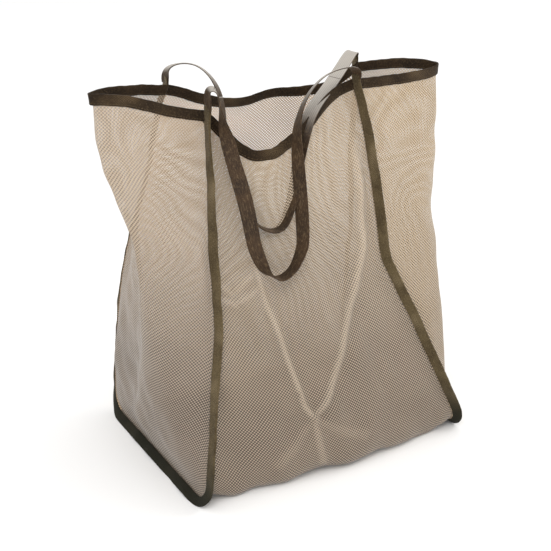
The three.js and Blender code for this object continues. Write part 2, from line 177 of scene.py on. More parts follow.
# y of the upright seams, against the share of the height
Y_SHARES = [0, .06, .15, .3, .45, .6, .8, 1]
SEAM_Y = {FRONT: pchip(Y_SHARES, [-128, -134, -128, -106, -84, -63, -33, -2]),
          BACK: pchip(Y_SHARES, [126, 134, 130, 118, 102, 84, 60, 36])}
# z of the front and back rims, against the share of the way from left to right
RIM_Z = {
    FRONT: pchip([0, .06, .12, .2, .27, .35, .42, .5, .58, .66, .74, .82, .9, 1],
                 [HEIGHT[LEFT, FRONT], 441, 425, 408.5, 400.5, 401.5, 408, 416, 424, 434.5,
                  444.5, 452.5, 458, HEIGHT[RIGHT, FRONT]]),
    BACK: pchip([0, .08, .18, .28, .34, .4, .45, .5, .58, .65, .72, .78, .84, .9, .95, 1],
                [HEIGHT[LEFT, BACK], 470.5, 458.5, 449.5, 445.5, 443, 444, 447, 449, 448.5,
                 447.5, 447.5, 450, 457, 464.5, HEIGHT[RIGHT, BACK]])}
# Outward bulge of the panels, against the share of the height, and the extra at the rim
BULGE_SHARES = [0, .08, .2, .4, .6, .8, 1]
BULGE = {FRONT: pchip(BULGE_SHARES, [17, 19, 18, 15, 12, 9, 6]),
         BACK: pchip(BULGE_SHARES, [4, 9, 13, 14, 12, 8, 5])}
RIM_BULGE = {FRONT: 10, BACK: 6}
# Lean of each seam's bound edge toward +X, in degrees, from the floor up
LEAN = {
    (LEFT, FRONT): pchip([0, .06, .12, .2, .3, .55, .63, .7, .78, .86, .93, 1],
                         [24, 16, 8, 6, 20, 22, 36, 26, 12, 9, -4, 10]),
    (RIGHT, FRONT): pchip([0, .1, .3, .45, .58, .7, .8, .9, 1],
                          [48, 50, 50, 50, 44, 38, 32, 24, 16]),
    (LEFT, BACK): pchip([0, .06, .15, .25, .5, .65, .85, 1], [14, 20, 22, 22, 24, 20, 8, 0]),
    (RIGHT, BACK): pchip([0, .3, .6, 1], [26, 20, 10, 4])}
# The outermost fold of each gusset, from the floor up: its x and y, half its width, and how
# far its shoulders stand in from it for each unit of that half width
FOLD_SHARES = [0, .1, .2, .3, .45, .62, .75, 1]
FOLD_X_SHARES = [0, .1, .2, .3, .45, .55, .62, .69, .75, .83, .92, 1]
FOLD_X = {
    LEFT: pchip(FOLD_X_SHARES, [
        -187, -204, -211, -214, -214, -217, -222, -231, -239, -245.5, -248.5, -246.5]),
    RIGHT: pchip(FOLD_X_SHARES, [
        188, 203, 208, 209, 221, 230, 237, 241, 245, 248, 248.5, 245.5])}
FOLD_Y = {LEFT: pchip(FOLD_SHARES, [0, -8, -18, -26, -30, -30, -18, 8]),
          RIGHT: pchip(FOLD_SHARES, [-10, -60, -70, -62, -34, -2, 0, 8])}
FOLD_HALF = pchip(FOLD_SHARES, [95, 88, 78, 64, 42, 17, 10, 6])
FOLD_DEPTH = pchip(FOLD_SHARES, [.02, .1, .18, .26, .5, 1, 1.15, 1.25])
# z of the gusset rims, against the share of the way from front to back
GUSSET_RIM_Z = {
    LEFT: pchip([0, .1, .25, .35, .45, .5, .6, .8, .9, 1],
                [HEIGHT[LEFT, FRONT], 459, 474, 484, 488, 489, 489, 485, 481.5,
                 HEIGHT[LEFT, BACK]]),
    RIGHT: pchip([0, .1, .3, .4, .5, .6, .8, 1],
                 [HEIGHT[RIGHT, FRONT], 461, 460, 460.5, 464, 469, 472.5,
                  HEIGHT[RIGHT, BACK]])}

# ------------------------------------------------------------------ stations round the U seams
# Each U seam runs down the front, back along the base and up the back.
UP_COUNT, BASE_COUNT = 112, 74
DOWN = np.linspace(1, .04, UP_COUNT)        # share of the corner's height
BASE_U = np.linspace(0, 1, BASE_COUNT)      # share of the way from front to back
PART = np.repeat([FRONT, BASE, BACK], [UP_COUNT, BASE_COUNT, UP_COUNT])
SHARE = np.concatenate([DOWN, BASE_U, DOWN[::-1]])
STATIONS = len(SHARE)
ROWS = {FRONT: slice(0, UP_COUNT), BASE: slice(UP_COUNT, UP_COUNT + BASE_COUNT),
        BACK: slice(UP_COUNT + BASE_COUNT, STATIONS)}
CORNER_SIGMA = 1.3      # smoothing that rounds the base corners, in stations
DIRECTIONS = ("across", "normal", "along")


def base_seam_z(u):
    return SEAM_Z + SEAM_Z_LIFT * near_ends(u, .06)


def seam_outline(side):
    out = np.zeros((STATIONS, 3))
    for part in (FRONT, BACK):
        v = SHARE[ROWS[part]]
        out[ROWS[part]] = np.stack([SEAM_X[side, part](v), SEAM_Y[part](v),
                                    np.maximum(LOWEST, v * HEIGHT[side, part])], -1)
    ends = [SEAM_X[side, part](BASE_SHARE) for part in (FRONT, BACK)]
    out[ROWS[BASE]] = np.stack([lerp(*ends, BASE_U), lerp(*BASE_Y, BASE_U),
                                base_seam_z(BASE_U)], -1)
    return out


def settle(points):
    """The front right corner of the base spreads a little on the floor."""
    centre, reach, shift = [160, -135, 5], [130, 110, 110], [-1.5, -10, -.6]
    dist = np.linalg.norm((points - centre) / reach, axis=-1)
    return points + np.exp(-dist ** 2)[..., None] * np.array(shift)


SEAM = {side: settle(smooth_rows(seam_outline(side), CORNER_SIGMA)) for side in (LEFT, RIGHT)}


def seam_frames(side):
    """Frames along a seam: along it, across it toward the bound edge, and the edge's normal."""
    points = SEAM[side]
    along = unit(np.gradient(points, axis=0))
    lean = np.radians(np.where(PART == BACK, LEAN[side, BACK](SHARE), LEAN[side, FRONT](SHARE)))
    outward = np.where(PART == FRONT, -1., 1.)
    droop = np.where(SHARE < .05, -.35, 0.)
    upright = np.stack([np.sin(lean), outward * np.cos(lean), droop], -1)
    # along the base the edge points out to the side and down, turning at the corners
    corner = near_ends(SHARE, .12)
    base = np.stack([side * (1 - .25 * corner), np.where(SHARE < .5, -1., 1.) * .62 * corner,
                     np.full(STATIONS, -.56)], -1)
    across = unit(np.where((PART == BASE)[:, None], base, upright))
    across = square_to(unit(smooth_rows(across, 2.5)), along)
    normal = np.cross(along, across) * -side
    # the bound edge wanders a little from flat, most of all under the base
    dist = arc(points)
    under = np.exp(-((dist - dist[UP_COUNT + BASE_COUNT // 2]) / 190) ** 2)
    turn = np.radians(wave_noise(dist, 11 + side, lengths=(120, 47), amps=(3.2, 2.0)))
    turn *= fade_ends(dist, 60)
    turn += np.radians(wave_noise(dist, 21 + side, lengths=(62, 33), amps=(6.5, 3.5))) * under
    cos, sin = np.cos(turn)[:, None], np.sin(turn)[:, None]
    return {"point": points, "along": along, "across": across * cos + normal * sin,
            "normal": normal * cos - across * sin, "dist": dist}


FRAMES = {side: seam_frames(side) for side in (LEFT, RIGHT)}

# ------------------------------------------------------------------ front, base and back sheet
COLUMNS = 118
ACROSS = np.linspace(0, 1, COLUMNS)     # share of the way from left to right
FLAT_REACH = .11                        # share of the width where the cloth comes down flat


def sag(v):
    """How far the cloth has sagged to the rim's shape, against the share of the height."""
    return clamp01((v - .35) / .65) ** 1.6


def sheet_outline():
    u = ACROSS[None]
    bow = np.sin(np.pi * u) ** 2
    out = np.zeros((STATIONS, COLUMNS, 3))
    for part, outward in ((FRONT, -1), (BACK, 1)):
        v = SHARE[ROWS[part]][:, None]
        x = lerp(SEAM_X[LEFT, part](v), SEAM_X[RIGHT, part](v), u)
        height = lerp(HEIGHT[LEFT, part], HEIGHT[RIGHT, part], u)
        z = np.maximum(LOWEST, v * height) - (height - RIM_Z[part](u)) * sag(v)
        z = np.where(v < .05, lerp(z, 5, inside(u, FLAT_REACH)), z)
        level = np.where(v < .06, v, z / height)
        y = SEAM_Y[part](level) + outward * bow * (BULGE[part](v) + RIM_BULGE[part] * sag(v))
        out[ROWS[part]] = np.stack(np.broadcast_arrays(x, y, z), -1)
    left, right = (seam_outline(side)[ROWS[BASE]][:, None] for side in (LEFT, RIGHT))
    base = lerp(left, right, u[..., None])
    floor_z = .4 + 1.2 * near_ends(BASE_U[:, None], .05) ** 2
    base[..., 2] = lerp(left[..., 2], floor_z, inside(u, FLAT_REACH))
    out[ROWS[BASE]] = base
    return out


SHEET = settle(smooth_rows(sheet_outline(), CORNER_SIGMA))
SHEET[:, 0], SHEET[:, -1] = SEAM[LEFT], SEAM[RIGHT]

# Creases in the front panel: line of (x, z), depth, width at its start and at its end,
# strength of the doubled cloth, and the share of the line over which the crease fades in
CREASES = [
    ([(-104, 447), (-90, 408), (-83, 343), (-81, 293), (-75, 260), (-71, 225), (-61, 186),
      (-54, 148), (-45, 101), (-34, 83)], 2.8, 3.0, 3.8, .42, .35),
    ([(101, 439), (92, 400), (90, 354), (90, 319), (80, 263), (66, 235), (51, 207), (28, 168),
      (5, 127), (-14, 101), (-34, 83)], 3.6, 8.0, 3.6, .42, .3),
    ([(-34, 83), (-31, 50), (-24, 14)], 2.2, 4.2, 7.0, .22, 0),
    ([(-34, 83), (-60, 58), (-92, 30)], 1.6, 4.0, 9.0, .1, 0),
    ([(-34, 83), (2, 60), (40, 44)], 1.5, 4.0, 9.0, .1, 0),
    ([(-130, 262), (-112, 245), (-84, 262)], 1.3, 3.0, 3.0, .3, .3),
    ([(-134, 246), (-110, 232), (-78, 246)], 1.3, 3.0, 3.0, .3, .3),
]


def line_distance(points, line):
    """Signed distance from 2-D points to a line, and the share along it of the nearest spot."""
    nearest, share = np.full(points.shape[:-1], 1e9), np.zeros(points.shape[:-1])
    steps = np.diff(line, axis=0)
    lengths, starts = np.linalg.norm(steps, axis=1), arc(line)
    for i, step in enumerate(steps):
        t = clamp01(((points - line[i]) @ step) / lengths[i] ** 2)
        dist = np.linalg.norm(points - (line[i] + t[..., None] * step), axis=-1)
        closer = dist < nearest
        nearest = np.where(closer, dist, nearest)
        share = np.where(closer, (starts[i] + t * lengths[i]) / starts[-1], share)
    i = np.clip((share * (len(line) - 1)).astype(int), 0, len(line) - 2)
    chord, away = line[i + 1] - line[i], points - line[i]
    return nearest * np.sign(chord[..., 0] * away[..., 1] - chord[..., 1] * away[..., 0]), share


def crease_front(grid):
    """Outward push of the creases, and how far the cloth is doubled at each point."""
    push, doubled = np.zeros(grid.shape[:2]), np.zeros(grid.shape[:2])
    front = (PART == FRONT)[:, None]
    for line, depth, start_width, end_width, doubling, fade_in in CREASES:
        dist, share = line_distance(grid[..., [0, 2]], np.array(line, float))
        width = lerp(start_width, end_width, share)
        fade = front * smooth01((1 - share) / .05 + (.35 if fade_in else 0))
        if fade_in:
            fade = fade * smooth01((share + .02) / fade_in)
        # a ridge with a shallow trough on one side
        push += fade * depth * (np.exp(-(dist / width) ** 2)
                                - .45 * np.exp(-((dist - 1.9 * width) / (1.5 * width)) ** 2))
        band = np.exp(-(np.abs(dist + .25 * width) / (.85 * width)) ** 3)
        doubled = np.maximum(doubled, fade * doubling * band)
    return push, doubled


def grid_normals(grid):
    return unit(np.cross(np.gradient(grid, axis=0), np.gradient(grid, axis=1)))


def dress_sheet(grid):
    """Adds creases, slack and small wrinkles; also returns how far the cloth is doubled."""
    normals = grid_normals(grid)
    base = (PART == BASE)[:, None]
    inward = np.where(PART[:, None] == FRONT, normals[..., 1] > 0, normals[..., 1] < 0)
    normals = np.where(base[..., None], normals * np.sign(-normals[..., 2:3] + 1e-9),
                       np.where(inward[..., None], -normals, normals))
    push, doubled = crease_front(grid)
    # long soft undulations on the upright panels, then small wrinkles
    push += np.where(base, 0, 1) * field_noise(
        grid, seed=5, length=95, amp=1.9, waves=12, stretch=(1, .3, .45))
    push += np.where(base, .25, 1) * field_noise(
        grid, seed=6, length=40, amp=.55, waves=14, stretch=(1, .5, .8))
    # held still at the seams and rims, and where it lies on the floor
    push *= inside(ACROSS, .06)[None] * fade_ends(arc(grid[:, COLUMNS // 2]), 22)[:, None]
    push *= np.where(base, smooth01((grid[..., 2] - 1.5) / 14), 1)
    return grid + normals * push[..., None], doubled


# ------------------------------------------------------------------ gussets
def gusset_row(side, v):
    """(x, y) of a gusset at a share of the height, from the front seam out to the fold and back."""
    front, back = (np.array([SEAM_X[side, part](v), SEAM_Y[part](v)]) for part in (FRONT, BACK))
    fold = np.array([FOLD_X[side](v), FOLD_Y[side](v)])
    half, depth = float(FOLD_HALF(v)), float(FOLD_DEPTH(v))
    half_front = min(half, .55 * (fold[1] - front[1]))
    half_back = min(half, .55 * (back[1] - fold[1]))
    shoulder_front = fold + np.array([-side * half_front * depth, -half_front])
    shoulder_back = fold + np.array([-side * half_back * depth, half_back])
    spread = min(.3, max(.035, 1.3 * half / 260))      # share of the row on each shoulder
    out, bow = side * lerp(3, 0, v), lerp(2, 3, v)      # bow of the walls beside the fold
    wall_front = (front + shoulder_front) / 2 + np.array([out, -bow])
    wall_back = (shoulder_back + back) / 2 + np.array([out, bow])
    shares = [0, (.5 - spread) / 2, .5 - spread, .5, .5 + spread,
              .5 + spread + (.5 - spread) / 2, 1]
    xy = np.array([front, wall_front, shoulder_front, fold, shoulder_back, wall_back, back])
    return pchip(shares, xy[:, 0])(BASE_U), pchip(shares, xy[:, 1])(BASE_U)


def gusset_outline(side):
    grid = np.zeros((UP_COUNT + 1, BASE_COUNT, 3))
    for row, v in zip(grid[1:], DOWN[::-1]):
        row[:, 0], row[:, 1] = gusset_row(side, v)
        row[:, 2] = lerp(base_seam_z(BASE_U), GUSSET_RIM_Z[side](BASE_U), v)
    grid = settle(grid)
    set_border(grid, SEAM[side])
    return grid


def set_border(grid, ring):
    """Puts the bottom row and the front and back edges of a gusset on a seam's stations."""
    grid[0] = ring[ROWS[BASE]]
    grid[1:, 0], grid[1:, -1] = ring[ROWS[FRONT]][::-1], ring[ROWS[BACK]]


def relax(grid, rounds):
    """Evens out the inside of a grid, its border held."""
    for _ in range(rounds):
        mean = (grid[:-2, 1:-1] + grid[2:, 1:-1] + grid[1:-1, :-2] + grid[1:-1, 2:]) / 4
        grid[1:-1, 1:-1] += .5 * (mean - grid[1:-1, 1:-1])


def gusset(side):
    grid = gusset_outline(side)
    relax(grid, rounds=14)
    normals = grid_normals(grid)
    normals *= np.sign(normals[len(grid) // 2, BASE_COUNT // 2, 0] * side)
    height = (np.arange(len(grid)) / (len(grid) - 1))[:, None]
    held = inside(BASE_U, .08)[None] * smooth01((1 - height) / .05) * smooth01(height / .08)
    push = field_noise(grid, 30 + side, length=105, amp=2.4, waves=12, stretch=(.3, 1, .5))
    push += field_noise(grid, 40 + side, length=38, amp=.6, waves=14, stretch=(.5, 1, .8))
    return grid + normals * (push * held)[..., None]


def cloth_coords(grid):
    """Distance across and along the cloth at each point; the third number, how far the cloth
    is doubled, starts at 0."""
    across = np.pad(np.cumsum(np.linalg.norm(np.diff(grid, axis=1), axis=-1), axis=1),
                    ((0, 0), (1, 0)))
    middle = grid.shape[1] // 2
    across -= across[:, middle:middle + 1]
    along = np.pad(np.cumsum(np.linalg.norm(np.diff(grid, axis=0), axis=-1), axis=0),
                   ((1, 0), (0, 0)))
    along = along.mean(1, keepdims=True) * .85 + along * .15
    return np.stack([across, along, np.zeros_like(across)], -1)


# ------------------------------------------------------------------ mesh making
FLOOR_SOFTNESS = .5     # height over which points ease off the floor


def new_mesh(name, verts, faces, mat, fab, body=None, replaces=()):
    """Makes an object from points in mm; fab holds each point's cloth coordinates."""
    verts = np.array(verts, float).reshape(-1, 3)
    # nothing sinks into the floor
    verts[:, 2] = np.logaddexp(0, verts[:, 2] / FLOOR_SOFTNESS) * FLOOR_SOFTNESS
    mesh = bpy.data.meshes.new(name)
    mesh.from_pydata((verts / 1000).tolist(), [], [list(map(int, face)) for face in faces])
    mesh.validate()
    attribute = mesh.attributes.new("fab", "FLOAT_VECTOR", "POINT")
    attribute.data.foreach_set("vector", np.asarray(fab, np.float32).ravel())
    mesh.polygons.foreach_set("use_smooth", [True] * len(mesh.polygons))
    mesh.update()
    ob = bpy.data.objects.new(name, mesh)
    SCENE.collection.objects.link(ob)
    mesh.materials.append(mat)
    if body:
        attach(ob, body)
    if replaces:
        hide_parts(*replaces)
    return ob


def grid_faces(rows, columns):
    row, column = np.meshgrid(np.arange(rows - 1), np.arange(columns - 1), indexing="ij")
    a = row * columns + column
    return np.stack([a, a + 1, a + columns + 1, a + columns], -1).reshape(-1, 4)


def fix_normals(ob):
    bm = bmesh.new()
    bm.from_mesh(ob.data)
    bmesh.ops.recalc_face_normals(bm, faces=bm.faces)
    bm.to_mesh(ob.data)
    bm.free()


def interp3(at, dist, values):
    return np.stack([np.interp(at, dist, values[:, j]) for j in range(3)], -1)


def sample(frames, at):
    """Frames at the given distances."""
    out = {key: interp3(at, frames["dist"], frames[key]) for key in ("point", *DIRECTIONS)}
    for key in DIRECTIONS:
        out[key] = unit(out[key])
    out["dist"] = at
    return out


def resample(frames, step):
    end = frames["dist"][-1]
    return sample(frames, np.linspace(0, end, int(round(end / step)) + 1))


def sweep(frames, profile, cap_pairs, scale=1):
    """Closed tube from a profile of (across, normal) points, its flat ends stitched between
    the profile's cap_pairs. Returns points, faces and cloth coordinates."""
    prof = np.array(profile, float)
    size, rows = len(prof), len(frames["point"])
    verts = (frames["point"][:, None]
             + frames["across"][:, None] * (prof[None, :, :1] * np.reshape(scale, (-1, 1, 1)))
             + frames["normal"][:, None] * prof[None, :, 1:2])
    faces = []
    for i in range(rows - 1):
        for j in range(size):
            k = (j + 1) % size
            faces.append((i * size + j, i * size + k, (i + 1) * size + k, (i + 1) * size + j))
    for row, order in ((0, 1), ((rows - 1) * size, -1)):
        for (a, b), (c, d) in zip(cap_pairs[:-1], cap_pairs[1:]):
            faces.append((row + a, row + b, row + d, row + c)[::order])
    fab = np.stack(np.broadcast_arrays(prof[None, :, 0], frames["dist"][:, None],
                                       prof[None, :, 1]), -1)
    return verts, faces, fab


def mirrored(points):
    return [(a, -b) for a, b in points]


def tape_profile(start, fold, outer, inner):
    """Folded tape in section: two plies from start, joined by a rounded fold. outer and inner
    are the half thicknesses over the tape and inside it."""
    length = fold - start
    outside = [(start, outer - .12), (start + .5, outer), (start + length * .3, outer + .04),
               (start + length * .6, outer + .02), (fold - 2.2, outer),
               (fold - 1.0, outer * .86), (fold - .35, outer * .55), (fold, .001)]
    within = [(start, inner + .08), (start + .5, inner), (start + length * .3, inner + .02),
              (start + length * .6, inner), (fold - 2.4, inner * .95),
              (fold - 1.6, inner * .75), (fold - 1.2, inner * .4), (fold - 1.1, .001)]
    return outside + mirrored(outside[:-1])[::-1] + mirrored(within[:-1]) + within[::-1]


def tape(name, frames, profile, mat, replaces):
    half = len(profile) // 2
    pairs = list(zip(range(half), range(2 * half - 1, half - 1, -1)))
    verts, faces, fab = sweep(frames, profile, pairs)
    fix_normals(new_mesh(name, verts, faces, mat, fab, "bag", (replaces,)))


STITCH, STITCH_GAP, THREAD_RADIUS = 2.5, 1.1, .27
# Sections of a stitch: place along it, radius share, lift in thread diameters
STITCH_SECTIONS = ((-.5, 0, -.25), (-.3, .85, .05), (.3, .85, .05), (.5, 0, -.25))


def stitches(name, frames, across, lift, margin):
    """A row of sewn stitches on each face of a tape, margin short of both ends."""
    spots = sample(frames, np.arange(margin, frames["dist"][-1] - margin, STITCH + STITCH_GAP))
    angle = (np.arange(5) * 2 * np.pi / 5)[None, :, None]
    circle = (spots["across"][:, None] * np.cos(angle)
              + spots["normal"][:, None] * np.sin(angle))
    rows = []
    for face in (1, -1):
        middle = spots["point"] + spots["across"] * across + spots["normal"] * face * lift
        blocks = []
        for place, share, rise in STITCH_SECTIONS:
            centre = (middle + spots["along"] * place * STITCH
                      + spots["normal"] * face * rise * THREAD_RADIUS * 2)[:, None]
            blocks.append(centre + circle * THREAD_RADIUS * share if share else centre)
        rows.append(np.concatenate(blocks, 1).reshape(-1, 3))
    verts = np.concatenate(rows)
    faces = []
    for first in range(0, len(verts), 12):
        for k in range(5):
            near, near_next = first + 1 + k, first + 1 + (k + 1) % 5
            faces += [(first, near, near_next), (near, near + 5, near_next + 5, near_next),
                      (near + 5, first + 11, near_next + 5)]
    fix_normals(new_mesh(name, verts, faces, M_THREAD, np.zeros_like(verts), "bag"))


# ------------------------------------------------------------------ materials
def srgb(*rgb):
    def linear(c):
        return (c / 255 / 12.92) if c / 255 <= .04045 else ((c / 255 + .055) / 1.055) ** 2.4
    return (*map(linear, rgb), 1)


class Shader:
    """Builds a node tree; values may be numbers, colours or sockets."""

    def __init__(self, name):
        self.material = bpy.data.materials.new(name)
        self.material.use_nodes = True
        self.tree = self.material.node_tree
        self.tree.nodes.clear()
        output = self.node("OutputMaterial")
        self.bsdf = self.node("BsdfPrincipled")
        self.tree.links.new(self.bsdf.outputs[0], output.inputs[0])

    def node(self, kind):
        return self.tree.nodes.new("ShaderNode" + kind)

    def put(self, socket, value):
        if isinstance(value, bpy.types.NodeSocket):
            self.tree.links.new(value, socket)
        else:
            socket.default_value = value

    def surface(self, settings):
        for name, value in settings.items():
            self.put(self.bsdf.inputs[name], value)

    def math(self, operation, *values):
        node = self.node("Math")
        node.operation = operation
        for socket, value in zip(node.inputs, values):
            self.put(socket, value)
        return node.outputs[0]

    def add(self, a, b):
        return self.math("ADD", a, b)

    def sub(self, a, b):
        return self.math("SUBTRACT", a, b)

    def mul(self, a, b):
        return self.math("MULTIPLY", a, b)

    def wave(self, value, pitch, kind="COSINE"):
        return self.math(kind, self.mul(value, 2 * math.pi / pitch))

    def vector_math(self, operation, a, b):
        node = self.node("VectorMath")
        node.operation = operation
        self.put(node.inputs[0], a)
        self.put(node.inputs[3 if operation == "SCALE" else 1], b)
        return node.outputs[0]

    def fab(self):
        node = self.node("Attribute")
        node.attribute_type, node.attribute_name = "GEOMETRY", "fab"
        return node.outputs["Vector"]

    def split(self, vector):
        node = self.node("SeparateXYZ")
        self.put(node.inputs[0], vector)
        return node.outputs

    def height(self):
        """Height above the floor, in metres."""
        return self.split(self.node("TexCoord").outputs["Object"])[2]

    def noise(self, vector, scale, detail, rough=.5, output="Fac"):
        node = self.node("TexNoise")
        for name, value in (("Vector", vector), ("Scale", scale), ("Detail", detail),
                            ("Roughness", rough)):
            self.put(node.inputs[name], value)
        return node.outputs[output]

    def remap(self, value, span, to, smooth=True):
        """Maps the range span to the range to."""
        node = self.node("MapRange")
        node.interpolation_type = "SMOOTHSTEP" if smooth else "LINEAR"
        for i, number in enumerate((value, *span, *to)):
            self.put(node.inputs[i], number)
        return node.outputs[0]

    def mix(self, under, over, share):
        node = self.node("Mix")
        node.data_type, node.blend_type = "RGBA", "MIX"
        for i, value in ((0, share), (6, under), (7, over)):
            self.put(node.inputs[i], value)
        return node.outputs[2]

    def layer(self, under, over, by, span, to, smooth=True):
        """Lays over on under, its share remapped from by."""
        return self.mix(under, over, self.remap(by, span, to, smooth))

    def bump(self, height, strength, distance):
        node = self.node("Bump")
        for name, value in (("Height", height), ("Strength", strength), ("Distance", distance)):
            self.put(node.inputs[name], value)
        self.put(self.bsdf.inputs["Normal"], node.outputs[0])


PITCH_ACROSS, PITCH_ALONG = 4.2, 4.0        # spacing of the net's threads
MIDDLE = (.3, .7)                           # the middle of a noise's range
BLACK = (0, 0, 0, 1)


def net_material(name, light, dark, hole=.32, hole_low=.86, floor_shade=.34,
                 hole_shade=(.04, .031, .026, 1), wider=.2):
    """See-through net: rows of diamond holes between crossing threads.

    hole, hole_low: opacity of the holes high up and at the floor; floor_shade: share of painted
    shade at the floor; hole_shade: colour of the painted shade in the holes; wider: how much the
    holes widen toward the floor."""
    k = Shader(name)
    cloth = k.fab()
    doubled = k.split(cloth)[2]
    wobble = k.noise(cloth, scale=.03, detail=1, output="Color")
    wobble = k.vector_math("SCALE", k.vector_math("SUBTRACT", wobble, (.5, .5, .5)), .5)
    x, y, _ = k.split(k.vector_math("ADD", cloth, wobble))
    net = k.mul(k.wave(x, PITCH_ACROSS), k.wave(y, PITCH_ALONG))    # high in the holes
    big = k.noise(cloth, scale=.012, detail=3)
    fine = k.noise(cloth, scale=.9, detail=2)
    low = k.remap(k.height(), span=(.43, .06), to=(0, 1))
    # threads gather and thin a little over the cloth, and doubled cloth closes the holes
    edge = k.add(k.remap(big, span=MIDDLE, to=(.01, .11)),
                 k.sub(k.mul(doubled, .45), k.mul(low, wider)))
    opening = k.remap(net, span=(edge, k.add(edge, .17)), to=(0, 1))
    filled = k.math("MAXIMUM", k.remap(doubled, span=(0, 1), to=(hole, .88)),
                    k.remap(low, span=(0, 1), to=(hole, hole_low)))
    alpha = k.sub(1, k.mul(opening, k.sub(1, filled)))
    # lighter where threads cross, darker in patches and specks
    knot = k.remap(net, span=(-1, .1), to=(1, 0))
    colour = k.mix(k.mix(dark, light, share=.5), light, share=k.mul(knot, .6))
    colour = k.layer(colour, k.mix(light, dark, share=.45), big, span=MIDDLE, to=(0, .35))
    colour = k.layer(colour, dark, fine, span=(.35, .65), to=(0, .25))
    # painted shade toward the floor and in the holes, and doubled cloth painted paler
    # painted shade: the colour darkens toward the floor
    shade_tone = k.mix((.16, .135, .125, 1), (.05, .045, .045, 1), share=.35)
    colour = k.mix(colour, shade_tone, share=k.mul(low, floor_shade))
    # painted shade in the holes: they are darkened, more toward the floor
    depth = k.mul(opening, k.remap(low, span=(0, 1), to=(.7, .92)))
    colour = k.mix(colour, hole_shade, share=depth)
    # doubled cloth painted paler: partly the denser cloth itself, partly a painted highlight along
    # the crease ridges
    pale = k.mix(light, (1, .97, .92, 1), share=.15)
    colour = k.mix(colour, pale, share=k.mul(doubled, .48))
    k.surface({"Base Color": colour, "Alpha": alpha,
               "Roughness": k.remap(fine, span=MIDDLE, to=(.5, .68)),
               "Specular IOR Level": .3, "Sheen Weight": .2, "Sheen Roughness": .45})
    # twist of the threads, slight against the net itself
    twist = k.mul(k.wave(k.add(x, y), pitch=.8), .1)
    k.bump(k.add(k.mul(net, -.5), twist), strength=.45, distance=.0003)
    return k.material


def tape_material(name, light, dark, worn=None, rib=1.15):
    """Ribbed tape at the given rib spacing, with specks and twill patches of the worn colour; the
    twill patches are partly painted sheen, and the tape is painted darker toward the floor as
    painted shade.
    """
    worn = worn or light
    k = Shader(name)
    cloth = k.fab()
    x, y, _ = k.split(cloth)
    ribs = k.wave(x, rib)
    weft = k.wave(y, pitch=.8)
    weave = k.add(k.mul(ribs, .6), k.mul(k.mul(weft, ribs), .4))
    big = k.noise(cloth, scale=.03, detail=4, rough=.6)
    fine = k.noise(cloth, scale=1.3, detail=3, rough=.6)
    fibre = k.noise(cloth, scale=6, detail=2, rough=.6)
    # two tones in patches, dark between the threads, then worn specks and dark grain
    colour = k.layer(dark, light, big, span=MIDDLE, to=(0, 1))
    colour = k.layer(colour, k.mix(colour, BLACK, share=.65), weave,
                     span=(-1, 1), to=(.45, 0), smooth=False)
    colour = k.layer(colour, worn, fine, span=(.52, .75), to=(0, .4))
    colour = k.layer(colour, worn, fibre, span=(.6, .8), to=(0, .25))
    grain = k.noise(cloth, scale=.62, detail=3, rough=.7)
    colour = k.layer(colour, worn, grain, span=(.5, .68), to=(0, .3))
    colour = k.layer(colour, (.01, .008, .006, 1), grain, span=(.5, .34), to=(0, .26))
    # a twill slanting both ways from x = 7, painted lighter in patches: the tape's twill texture
    # with a painted sheen
    slant = k.mul(k.math("ABSOLUTE", k.sub(x, 7.0)), 1.3)
    twill = k.wave(k.add(y, slant), pitch=3.1, kind="SINE")
    twill_sheen = k.mul(k.remap(k.noise(cloth, scale=.014, detail=2), span=(.5, .68), to=(0, 1)),
                k.remap(twill, span=(-.3, .8), to=(.1, .85)))
    colour = k.mix(colour, worn, share=twill_sheen)
    # painted shade: darker toward the floor, where the tape stands in shadow
    colour = k.layer(colour, (.012, .013, .009, 1), k.height(), span=(.1, .01), to=(0, .92))
    k.surface({"Base Color": colour, "Roughness": k.remap(fine, span=MIDDLE, to=(.68, .88)),
               "Specular IOR Level": .12,
               "Sheen Weight": k.remap(k.height(), span=(.02, .12), to=(.02, .12)),
               "Sheen Roughness": .4})
    k.bump(k.add(weave, k.mul(fine, .8)), strength=.7, distance=.00022)
    return k.material


